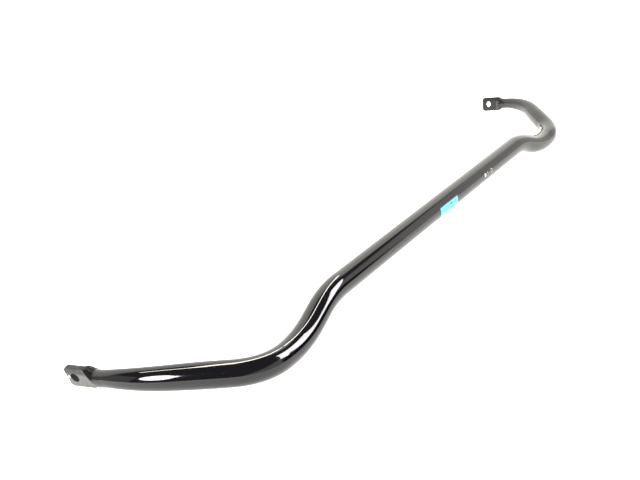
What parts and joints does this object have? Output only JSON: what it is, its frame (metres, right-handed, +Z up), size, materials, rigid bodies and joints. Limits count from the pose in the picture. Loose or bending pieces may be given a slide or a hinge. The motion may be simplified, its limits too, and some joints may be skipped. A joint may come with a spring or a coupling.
{
  "type": "sway bar",
  "caption": "Bent spring-steel stabiliser bar with an offset middle, swept arms and a flattened, drilled eye at each end.",
  "frame": {"origin": "middle of the bottom of the bar's bounding box, on the surface that the bar lies on", "axes": "+X along the bar towards its right eye, +Y the way the arms point, +Z up with the bar lying on its offsets and eyes"},
  "size_m": [1.0598, 0.1814, 0.051],
  "materials": {
    "black_paint": "gloss black paint over forged spring steel",
    "label_film": "satin cyan adhesive film",
    "white_paint": "brushed white marking paint"
  },
  "bodies": {
    "root": {"bar": "black_paint", "label": "label_film", "paint_dot": "white_paint", "paint_dash_1": "white_paint", "paint_dash_2": "white_paint", "paint_dash_3": "white_paint", "paint_ring": "white_paint"}
  },
  "joints": []
}
